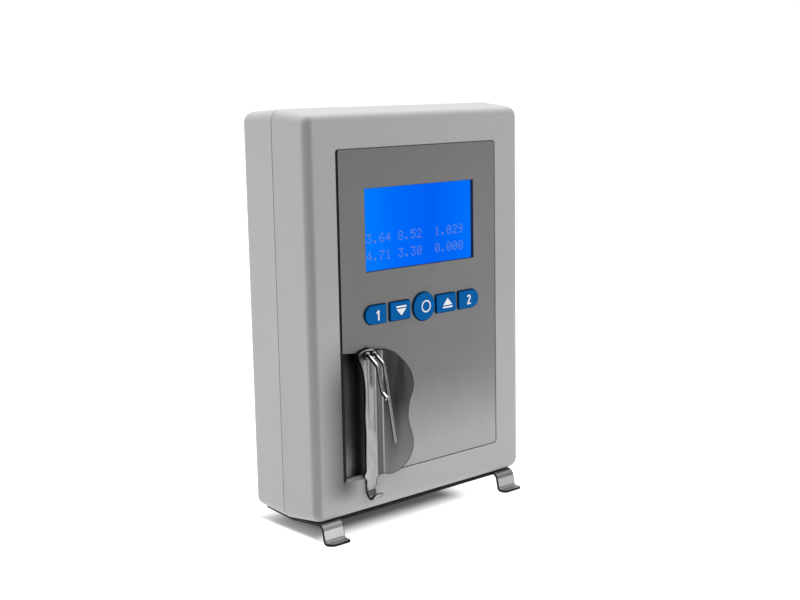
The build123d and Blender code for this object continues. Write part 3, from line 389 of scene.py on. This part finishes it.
done("brushed_plate", metal("brushed_plate", (0.50, 0.50, 0.50), 0.36, "Z", streak=0.045, fine=0.02,
                            aniso=0.45, bump=0.03, zones=plate_zones))
done("polished_sheet", metal("polished_sheet", (0.80, 0.80, 0.80), 0.34, "Z", streak=0.06, fine=0.05,
                             bump=0.03, spots=0.2, zones=liner_zones))
done("guard_sheet", metal("guard_sheet", (0.56, 0.56, 0.56), 0.22, "Z", streak=0.04, fine=0.05,
                          bump=0.03, spots=0.30, zones=guard_zones))
done("stand_sheet", metal("stand_sheet", (0.78, 0.78, 0.78), 0.30, "X", streak=0.04, fine=0.05,
                          bump=0.03, spots=0.2, zones=stand_zones))


def tube_zones(k):
    """Drawn tube: painted shade along both sides, heaviest on the left, none along its front; painted shade on
    faces turned towards the back.
    """
    x, y, z = k.mm()
    _, s = k.normal()
    d = k.math("SUBTRACT", k.math("MULTIPLY", s[0], 0.75), k.math("MULTIPLY", s[1], 0.66))
    f = k.math("MAXIMUM", k.mrange(d, -0.55, -0.05, 0.96, 0.0, True), k.mrange(d, 0.5, 0.95, 0.0, 0.75, True))
    return f, k.mrange(s[1], -0.2, 0.3, 0.0, 0.6)


done("bright_tube", metal("bright_tube", (0.54, 0.54, 0.54), 0.27, "Z", streak=0.04, fine=0.03,
                          bump=0.03, brush_scale=(1500.0, 200.0), zones=tube_zones))
done("zinc_screw", metal("zinc_screw", (0.62, 0.62, 0.60), 0.26, "X", streak=0.08, fine=0.08,
                         bump=0.06, spots=0.3))
done("brass", metal("brass", (0.78, 0.58, 0.24), 0.24, "Y", streak=0.06, fine=0.06, bump=0.04))
done("cell_metal", metal("cell_metal", (0.60, 0.61, 0.62), 0.36, "X", streak=0.06, fine=0.06, bump=0.05))
done("zinc_can", metal("zinc_can", (0.66, 0.66, 0.65), 0.30, "Y", streak=0.05, fine=0.06, bump=0.04))
done("black_rubber", plastic("black_rubber", (0.008, 0.008, 0.008), 0.62, 2200.0, 0.2, spec=0.2))
done("black_plastic", plastic("black_plastic", (0.018, 0.018, 0.019), 0.42, 1700.0, 0.16))
done("black_metal", plastic("black_metal", (0.016, 0.016, 0.018), 0.38, 3000.0, 0.10))
done("white_plastic", plastic("white_plastic", (0.74, 0.73, 0.70), 0.42, 1700.0, 0.1, 0.04))
done("light_guide", plastic("light_guide", (0.62, 0.70, 0.82), 0.30, 1200.0, 0.08, 0.04))
done("silicone", plastic("silicone", (0.70, 0.68, 0.62), 0.38, 900.0, 0.1, 0.05))
done("clear_plastic", plastic("clear_plastic", (0.55, 0.57, 0.58), 0.20, 900.0, 0.06, 0.05))
done("heater_film", plastic("heater_film", (0.50, 0.22, 0.05), 0.34, 900.0, 0.1, 0.12))
done("capacitor_sleeve", plastic("capacitor_sleeve", (0.02, 0.03, 0.07), 0.35, 900.0, 0.08, 0.1))

# ribbon cable: a row of cores
k = Mat("grey_cable")
cores = k.wave(k.mapping((790.0, 790.0, 790.0)), 1.0, 0.0, "X")
k.set(color=k.ramp(cores, [(0.15, grey(0.24)), (0.6, grey(0.40))]), rough=0.5, normal=k.bump(cores, 0.6, 0.0003))
done("grey_cable", k)

# circuit board: solder mask over copper tracks
k = Mat("green_board")
tr = k.voronoi(k.mapping((420.0, 420.0, 420.0)), 1.0, "DISTANCE_TO_EDGE")
trk = k.mrange(tr, 0.03, 0.06, 1.0, 0.0)
fine = k.noise(scale=700.0, detail=3.0)
k.set(color=k.mixc(trk, k.ramp(fine, [(0.3, (0.004, 0.10, 0.035)), (0.7, (0.006, 0.13, 0.045))]),
                   (0.02, 0.22, 0.08)), rough=0.28, coat=0.4, coat_rough=0.1, normal=k.bump(trk, 0.5, 0.00004))
done("green_board", k)

# backlit display: brighter towards its left edge, fine pixel grid
k = Mat("lcd_blue")
x, y, z = k.mm()
across = k.ramp(k.mrange(x, -36.0, 36.0, 0.0, 1.0),
                [(0.0, (0.0, 0.205, 1.0)), (0.30, (0.0, 0.146, 0.97)), (0.62, (0.0, 0.120, 0.90)),
                 (1.0, (0.0, 0.165, 0.97))])
cell_x = k.wave(k.mapping((475.0, 475.0, 475.0)), 1.0, 0.0, "X")
cell_z = k.wave(k.mapping((475.0, 475.0, 475.0)), 1.0, 0.0, "Z")
gridm = k.math("MAXIMUM", k.mrange(cell_x, 0.93, 1.0, 0.0, 1.0), k.mrange(cell_z, 0.93, 1.0, 0.0, 1.0))
cloud = k.noise(scale=30.0, detail=1.0)
em = k.mixc(k.mrange(cloud, 0.3, 0.7, 0.0, 0.12), across, (0.0, 0.09, 0.80))
em = k.mixc(k.math("MULTIPLY", gridm, 0.10), em, (0.0, 0.05, 0.5))
k.set(color=(0.0, 0.004, 0.02), rough=0.3, spec=0.0, emit=em, emit_power=1.0)
done("lcd_blue", k)

# key caps: satin blue, darker round their bevelled edge
k = Mat("blue_key")
n1 = k.noise(scale=340.0, detail=3.0, rough=0.6)
n2 = k.noise(scale=2600.0, detail=2.0)
n, _ = k.normal()
face = k.ramp(n1, [(0.3, (0.0, 0.098, 0.335)), (0.7, (0.0, 0.110, 0.368))])
k.set(color=k.mixc(k.mrange(n[1], 0.70, 0.97, 0.8, 0.0), face, (0.0, 0.007, 0.032)),
      rough=k.mixf(k.mrange(n1, 0.3, 0.7, 0.0, 1.0), 0.36, 0.46), spec=0.03, normal=k.bump(n2, 0.10, 0.00004))
done("blue_key", k)

# printed legends and display dots
k = Mat("legend_white")
n1 = k.noise(scale=1400.0, detail=3.0, rough=0.6)
k.set(color=k.ramp(n1, [(0.25, grey(0.70)), (0.6, grey(0.86))]), rough=0.5, normal=k.bump(n1, 0.1, 0.00003))
done("legend_white", k)
k = Mat("lcd_dots")
n1 = k.noise(scale=220.0, detail=3.0, rough=0.6)
x, y, z = k.mm()
k.set(color=(0.01, 0.02, 0.06), rough=0.3, spec=0.0,
      emit=k.mixc(k.mrange(n1, 0.3, 0.7, 0.0, 0.7), (0.130, 0.215, 0.52), (0.060, 0.18, 0.62)), emit_power=1.0)
done("lcd_dots", k)

# painted shade: near-black colour for the lines laid along sheared edges
k = Mat("painted_line_shade")
n1 = k.noise(scale=500.0, detail=3.0, rough=0.6)
k.set(color=k.ramp(n1, [(0.3, grey(0.020)), (0.7, grey(0.045))]), rough=0.5, spec=0.2,
      normal=k.bump(n1, 0.1, 0.00003))
done("painted_line_shade", k)

# connectors whose one node holds metal, plastic and contacts
def connector(name, metal_mask, gold_mask=None, dark=(0.016, 0.016, 0.017), bright=(0.55, 0.55, 0.54)):
    k = Mat(name)
    x, y, z = k.mm()
    mm = metal_mask(k, x, y, z)
    g = k.noise(scale=1500.0, detail=2.0)
    wear = k.noise(scale=240.0, detail=3.0)
    col = k.mixc(mm, k.ramp(wear, [(0.3, tuple(c * 0.8 for c in dark)), (0.7, tuple(c * 1.3 for c in dark))]),
                 k.ramp(wear, [(0.3, tuple(c * 0.85 for c in bright)), (0.7, bright)]))
    met = mm
    if gold_mask is not None:
        gm = gold_mask(k, x, y, z)
        col = k.mixc(gm, col, (0.80, 0.56, 0.20))
        met = k.math("MAXIMUM", mm, gm)
    k.set(color=col, metal=met, rough=k.mixf(met, 0.42, 0.26), normal=k.bump(g, 0.12, 0.00004))
    return k


def dsub_gold(k, x, y, z):
    a = k.inside(x, -38.4, -21.6)
    b = k.inside(z, -84.5, -76.5)
    return k.math("MULTIPLY", k.math("MULTIPLY", a, b), k.inside(y, 46.66, 60.0))


def dsub_metal(k, x, y, z):
    a = k.inside(x, -38.75, -21.25)
    b = k.inside(z, -84.75, -76.25)
    hole = k.math("MULTIPLY", a, b)
    return k.math("SUBTRACT", 1.0, hole, True)


done("serial_socket", connector("serial_socket", dsub_metal, dsub_gold))


def usb_metal(k, x, y, z):
    a = k.inside(x, -4.1, 4.1)
    b = k.inside(z, -84.3, -76.7)
    return k.math("SUBTRACT", 1.0, k.math("MULTIPLY", a, b), True)


done("usb_socket", connector("usb_socket", usb_metal, dark=(0.62, 0.61, 0.58)))


def jack_metal(k, x, y, z):
    dx = k.math("SUBTRACT", x, 22.0)
    dz = k.math("SUBTRACT", z, -80.5)
    r = k.math("SQRT", k.math("ADD", k.math("MULTIPLY", dx, dx), k.math("MULTIPLY", dz, dz)))
    return k.math("MULTIPLY", k.mrange(r, 1.2, 1.4, 1.0, 0.0), k.inside(y, 39.9, 60.0))


done("power_jack", connector("power_jack", jack_metal))

# rocker key: near-black plastic with a fine texture
k = Mat("rocker_key")
s = k.xyz(k.mapping((1000.0, 1000.0, 1000.0), loc=(0, 0, 0)))
mid = k.noise(scale=160.0, detail=3.0)
g = k.noise(scale=1700.0, detail=2.0)
k.set(color=k.ramp(mid, [(0.3, grey(0.014)), (0.7, grey(0.021))]), rough=0.34, normal=k.bump(g, 0.12, 0.00004))
done("rocker_key", k)

ASSIGN = {
    "case_plastic": ["front_shell", "rear_shell"],
    "brushed_plate": ["front_plate"],
    "polished_sheet": ["recess_liner"],
    "guard_sheet": ["cup_guard"],
    "stand_sheet": ["base_stand", "pump_bracket"],
    "bright_tube": ["intake_tube", "outlet_tube", "tube_collars", "pump_shaft"],
    "black_rubber": ["tube_block"],
    "lcd_blue": ["lcd_glass"],
    "light_guide": ["lcd_backlight"],
    "black_metal": ["lcd_bezel"],
    "green_board": ["lcd_board", "key_board", "main_board", "connector_board"],
    "brass": ["lcd_spacers"],
    "blue_key": ["key_left", "key_down", "key_enter", "key_up", "key_right"],
    "black_plastic": ["key_tray", "key_switches", "board_components", "beeper", "pump_housing",
                      "rocker_frame"],
    "zinc_screw": ["case_screws", "plate_nuts", "board_screws", "pump_screws", "module_screws",
                   "stand_screws", "stand_nuts", "serial_posts", "jack_nut"],
    "capacitor_sleeve": ["board_capacitors"],
    "grey_cable": ["flat_cables"],
    "cell_metal": ["measuring_cell"],
    "heater_film": ["cell_heater"],
    "clear_plastic": ["pump_cover", "hose_couplers"],
    "white_plastic": ["pump_rotor", "pump_roller_1", "pump_roller_2", "pump_roller_3"],
    "zinc_can": ["cell_transducers", "pump_motor"],
    "silicone": ["intake_hose", "cell_hose", "outlet_hose", "pump_tube"],
    "serial_socket": ["serial_socket"],
    "usb_socket": ["usb_socket"],
    "power_jack": ["power_jack"],
    "rocker_key": ["rocker_key"],
}
for key, names in ASSIGN.items():
    for n in names:
        o = NODES[n]
        if not o.material_slots:
            o.data.materials.append(MATS[key])
        for sl in o.material_slots:
            sl.material = MATS[key]
left = sorted(set(NODES) - {n for v in ASSIGN.values() for n in v})
if left:
    raise RuntimeError("no material for " + ", ".join(left))


# ------------------------------------------------------------ piece helpers
def add(name, bm, mat, body, smooth=False):
    me = bpy.data.meshes.new(name)
    bmesh.ops.recalc_face_normals(bm, faces=bm.faces)
    bm.to_mesh(me)
    bm.free()
    if smooth:
        me.polygons.foreach_set("use_smooth", [True] * len(me.polygons))
    me.materials.append(MATS[mat])
    o = bpy.data.objects.new(name, me)
    bpy.context.scene.collection.objects.link(o)
    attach(o, body)
    return o


def prism(bm, outline, y0, y1, holes=()):
    """Solid with an X-Z outline (mm) between depths y0 and y1."""
    loops = [outline] + list(holes)
    verts = []
    for lp in loops:
        verts.append(([bm.verts.new(P(x, y0, z)) for x, z in lp],
                      [bm.verts.new(P(x, y1, z)) for x, z in lp]))
    for f, b in verts:
        n = len(f)
        for i in range(n):
            bm.faces.new((f[i], f[(i + 1) % n], b[(i + 1) % n], b[i]))
    for side in (0, 1):
        edges = []
        for pair in verts:
            vs = pair[side]
            edges += [bm.edges.get((vs[i], vs[(i + 1) % len(vs)])) for i in range(len(vs))]
        if len(verts) == 1:
            bm.faces.new(verts[0][side])
        else:
            bmesh.ops.triangle_fill(bm, use_beauty=True, use_dissolve=False, edges=edges)


def rounded(points, r, n=4):
    """Polygon with its corners rounded."""
    out = []
    c = len(points)
    for i in range(c):
        p0, p1, p2 = Vector(points[i - 1]), Vector(points[i]), Vector(points[(i + 1) % c])
        a, b = (p0 - p1), (p2 - p1)
        ra = min(r, a.length * 0.45, b.length * 0.45)
        s, e = p1 + a.normalized() * ra, p1 + b.normalized() * ra
        for j in range(n + 1):
            t = j / n
            q = s * (1 - t) ** 2 + p1 * 2 * t * (1 - t) + e * t ** 2
            out.append((q.x, q.y))
    return out


def rect(cx, cz, w, h, r=0.1):
    return rounded([(cx - w / 2, cz - h / 2), (cx + w / 2, cz - h / 2),
                    (cx + w / 2, cz + h / 2), (cx - w / 2, cz + h / 2)], r)


def circle(cx, cz, r, n=40):
    return [(cx + r * math.cos(2 * math.pi * i / n), cz + r * math.sin(2 * math.pi * i / n)) for i in range(n)]


LEG_Y0, LEG_Y1 = KEY_FACE + 0.03, KEY_FACE - 0.045

# key legends, each riding on its own key
bm = bmesh.new()
prism(bm, rect(-14.8, 2.0, 6.5, 0.85, 0.12), LEG_Y0, LEG_Y1)
prism(bm, rounded([(-18.0, 0.95), (-14.8, -2.4), (-11.6, 0.95)], 0.15), LEG_Y0, LEG_Y1)
add("legend_down", bm, "legend_white", "key_down")
bm = bmesh.new()
prism(bm, rect(16.3, -2.2, 6.5, 0.85, 0.12), LEG_Y0, LEG_Y1)
prism(bm, rounded([(13.1, -1.15), (19.5, -1.15), (16.3, 2.4)], 0.15), LEG_Y0, LEG_Y1)
add("legend_up", bm, "legend_white", "key_up")
bm = bmesh.new()
prism(bm, circle(1.6, 0.0, 3.1), LEG_Y0, LEG_Y1, [circle(1.6, 0.0, 2.4)])
add("legend_enter", bm, "legend_white", "key_enter")


def digit_one(cx, cz, h):
    w = h * 0.17
    return rounded([(cx - w / 2, cz - h / 2), (cx + w / 2, cz - h / 2), (cx + w / 2, cz + h / 2),
                    (cx - w * 0.25, cz + h / 2), (cx - h * 0.30, cz + h * 0.28), (cx - h * 0.24, cz + h * 0.15),
                    (cx - w / 2, cz + h * 0.26)], 0.08)


def digit_two(cx, cz, h):
    t, r = h * 0.165, h * 0.26
    pts_o, pts_i = [], []
    cy = cz + h / 2 - r
    for i in range(17):
        a = math.radians(170 - 215 * i / 16)
        pts_o.append((cx + r * math.cos(a), cy + r * math.sin(a)))
        pts_i.append((cx + (r - t) * math.cos(a), cy + (r - t) * math.sin(a)))
    foot = [(cx - r + t * 1.35, cz - h / 2 + t), (cx + r, cz - h / 2 + t), (cx + r, cz - h / 2),
            (cx - r, cz - h / 2), (cx - r, cz - h / 2 + t * 0.75)]
    return pts_o + foot + pts_i[::-1]


bm = bmesh.new()
prism(bm, digit_one(-29.45, -0.5, 5.0), LEG_Y0, LEG_Y1)
add("legend_left", bm, "legend_white", "key_left")
bm = bmesh.new()
prism(bm, digit_two(31.3, -0.25, 5.0), LEG_Y0, LEG_Y1)
add("legend_right", bm, "legend_white", "key_right")


def edge_lines(name, node, width, is_face, is_cut, mat="painted_line_shade"):
    """Painted shade: fine dark line along the sheared edges of a sheet, laid on its face."""
    src = bmesh.new()
    src.from_mesh(NODES[node].data)
    src.transform(NODES[node].matrix_world)
    bmesh.ops.remove_doubles(src, verts=src.verts, dist=2e-6)
    src.normal_update()
    out = bmesh.new()
    for e in src.edges:
        if len(e.link_faces) != 2:
            continue
        for f, g in (e.link_faces, tuple(reversed(e.link_faces))):
            mid = (e.verts[0].co + e.verts[1].co) / 2
            if not (is_face(f.normal, mid) and is_cut(g.normal, mid)):
                continue
            a, b = e.verts[0].co, e.verts[1].co
            if (b - a).length < 1e-6:
                continue
            inward = f.normal.cross((b - a).normalized())
            if inward.dot(g.normal) > 0:
                inward = -inward
            lift = f.normal * 0.00002
            q = [a + lift, b + lift, b + inward * width + lift, a + inward * width + lift]
            out.faces.new([out.verts.new(v) for v in q])
    src.free()
    return add(name, out, mat, "case")


def z_mm(v):
    return v.z * 1000.0 - FLOOR_DROP


def x_mm(v):
    return v.x * 1000.0


# painted shade along the edges of the cup guard and the base stand
edge_lines("guard_shade_lines", "cup_guard", 0.00034,
           lambda n, c: n.y < -0.35 and (z_mm(c) > -84.0 or abs(n.x) < 0.3),
           lambda n, c: abs(n.y) < 0.25 if z_mm(c) > -83.0 else abs(n.x) > 0.8)
edge_lines("stand_shade_lines", "base_stand", 0.00030,
           lambda n, c: abs(n.x) < 0.3 and (n.y < -0.3 or n.z > 0.5) and z_mm(c) < -97.6,
           lambda n, c: abs(n.x) > 0.5)

# dark lining round the display opening
bm = bmesh.new()
prism(bm, rect(0.0, 40.9, 71.96, 40.16, 0.05), 0.42, 2.09, [rect(0.0, 40.9, 71.6, 39.8, 0.05)])
add("window_lining", bm, "black_metal", "case")

# painted shade: black strips along the left edge of the plate and of the sampling recess, where the gaps lie in
# shadow
bm = bmesh.new()
prism(bm, rect(-52.26, 0.0, 1.56, 159.8, 0.3), 0.62, 1.46)
add("plate_gap_shade", bm, "black_rubber", "case")
bm = bmesh.new()
prism(bm, rect(-51.85, -47.8, 2.1, 63.2, 0.3), 0.56, 1.40)
add("recess_gap_shade", bm, "black_rubber", "case")

# dot-matrix readout: plain figures
FONT = {
    "0": "01110 10001 10011 10101 11001 10001 01110", "1": "00100 01100 00100 00100 00100 00100 01110",
    "2": "01110 10001 00001 00010 00100 01000 11111", "3": "11111 00010 00100 00010 00001 10001 01110",
    "4": "00010 00110 01010 10010 11111 00010 00010", "5": "11111 10000 11110 00001 00001 10001 01110",
    "6": "00110 01000 10000 11110 10001 10001 01110", "7": "11111 00001 00010 00100 01000 01000 01000",
    "8": "01110 10001 10001 01110 10001 10001 01110", "9": "01110 10001 10001 01111 00001 00010 01100",
    ".": "00000 00000 00000 00000 00000 01100 01100", " ": "00000 00000 00000 00000 00000 00000 00000",
}
PIX = 0.645
bm = bmesh.new()
for text, base in (("3.64 8.52  1.029", 34.3), ("4.71 3.30  0.000", 25.8)):
    for ci, ch in enumerate(text):
        for ri, row in enumerate(FONT[ch].split()):
            for qi, bit in enumerate(row):
                if bit == "1":
                    cx = -33.5 + ci * 4.05 + qi * PIX
                    cz = base + (6 - ri) * PIX + PIX / 2
                    prism(bm, rect(cx, cz, PIX * 0.86, PIX * 0.86, 0.08), 2.095, 2.07)
add("readout", bm, "lcd_dots", "case")

# ------------------------------------------------------------ floor, lights
# floor: even white glow, masked out under the case as a painted shadow, soft towards the front and sharp along the
# left edge of the stand
k = Mat("floor_white")
n1 = k.noise(scale=3.0, detail=2.0)
sx = k.xyz()
dx = k.math("MAXIMUM", k.math("SUBTRACT", sx[0], SHADOW_X), 0.0)
dy = k.math("MAXIMUM", k.math("SUBTRACT", k.math("ABSOLUTE", k.math("ADD", sx[1], SHADOW_Y)), 0.014), 0.0)
shadow_distance = k.math("SQRT", k.math("ADD", k.math("MULTIPLY", dx, dx), k.math("MULTIPLY", dy, dy)))
shadow_left_ramp = k.ramp(k.mrange(sx[0], -0.0453, -0.0663, 0.0, 1.0),
              [(0.0, 0.0), (0.38, 0.03), (0.63, 0.12), (0.83, 0.19), (0.88, 0.24), (0.95, 0.60), (0.995, 1.0)])
outside_painted_shadow = k.math("MAXIMUM", k.mrange(shadow_distance, 0.0, SHADOW_FADE, 0.0, 1.0, True), shadow_left_ramp)
k.set(color=k.ramp(n1, [(0.3, grey(0.40)), (0.7, grey(0.41))]), rough=0.9, spec=0.05,
      emit=(1.0, 1.0, 1.0), emit_power=k.math("MULTIPLY", outside_painted_shadow, FLOOR_GLOW))
bm = bmesh.new()
bmesh.ops.create_grid(bm, x_segments=8, y_segments=8, size=6.0)
me = bpy.data.meshes.new("floor")
bm.to_mesh(me)
bm.free()
me.materials.append(k.m)
floor = bpy.data.objects.new("floor", me)
bpy.context.scene.collection.objects.link(floor)


def area(name, loc, target, sx, sy, power, glossy=True):
    d = bpy.data.lights.new(name, "AREA")
    d.shape = "RECTANGLE"
    d.size, d.size_y = sx, sy
    d.energy = power
    o = bpy.data.objects.new(name, d)
    o.location = loc
    o.rotation_mode = "QUATERNION"
    o.rotation_quaternion = (Vector(target) - Vector(loc)).to_track_quat("-Z", "Y")
    o.visible_glossy = glossy
    o.visible_camera = False
    bpy.context.scene.collection.objects.link(o)
    return o


area("top_box", (0.05, 0.15, 1.5), (0.0, 0.0, 0.1), 1.6, 1.6, 26.5)
area("left_box", (-1.5, 0.75, 0.6), (0.0, 0.0, 0.1), 0.9, 1.2, 1.7)
area("right_box", (1.2, -0.9, 0.7), (0.0, 0.0, 0.1), 0.8, 1.0, 3.9, False)

w = bpy.data.worlds.new("studio")
bpy.context.scene.world = w
w.use_nodes = True
nt = w.node_tree
nt.nodes.clear()
out = nt.nodes.new("ShaderNodeOutputWorld")
bg = nt.nodes.new("ShaderNodeBackground")
bg2 = nt.nodes.new("ShaderNodeBackground")
bg2.inputs[0].default_value = (1, 1, 1, 1)
bg2.inputs[1].default_value = 1.05
lp = nt.nodes.new("ShaderNodeLightPath")
mx = nt.nodes.new("ShaderNodeMixShader")
nt.links.new(lp.outputs["Is Camera Ray"], mx.inputs[0])
nt.links.new(bg.outputs[0], mx.inputs[1])
nt.links.new(bg2.outputs[0], mx.inputs[2])
nt.links.new(mx.outputs[0], out.inputs[0])
tc = nt.nodes.new("ShaderNodeTexCoord")


def lobe(direction, c0, c1, v):
    """v inside the cone whose cosine is over c1, falling to 0 at c0."""
    d = nt.nodes.new("ShaderNodeVectorMath")
    d.operation = "DOT_PRODUCT"
    nt.links.new(tc.outputs["Generated"], d.inputs[0])
    d.inputs[1].default_value = Vector(direction).normalized()
    r = nt.nodes.new("ShaderNodeMapRange")
    r.interpolation_type = "SMOOTHSTEP"
    nt.links.new(d.outputs["Value"], r.inputs["Value"])
    for i, x in zip(("From Min", "From Max", "To Min", "To Max"), (c0, c1, 0.0, v)):
        r.inputs[i].default_value = x
    return r.outputs["Result"]


def total(*socks):
    s = socks[0]
    for t in socks[1:]:
        a = nt.nodes.new("ShaderNodeMath")
        a.operation = "ADD"
        if isinstance(s, float):
            a.inputs[0].default_value = s
        else:
            nt.links.new(s, a.inputs[0])
        nt.links.new(t, a.inputs[1])
        s = a.outputs[0]
    return s


light = total(0.06,
              lobe((0, 0, 1), 0.0, 0.9, 0.45),            # overhead
              lobe((0.3, 1, 0.2), -0.2, 0.9, 0.30),       # behind the object
              lobe((-1.0, 0.3, 0.15), 0.2, 0.95, 0.12),   # from the left
              lobe((0.85, -0.75, 0.0), 0.70, 0.98, 0.10)) # what the plate mirrors
nt.links.new(light, bg.inputs[1])
bg.inputs[0].default_value = (1, 1, 1, 1)
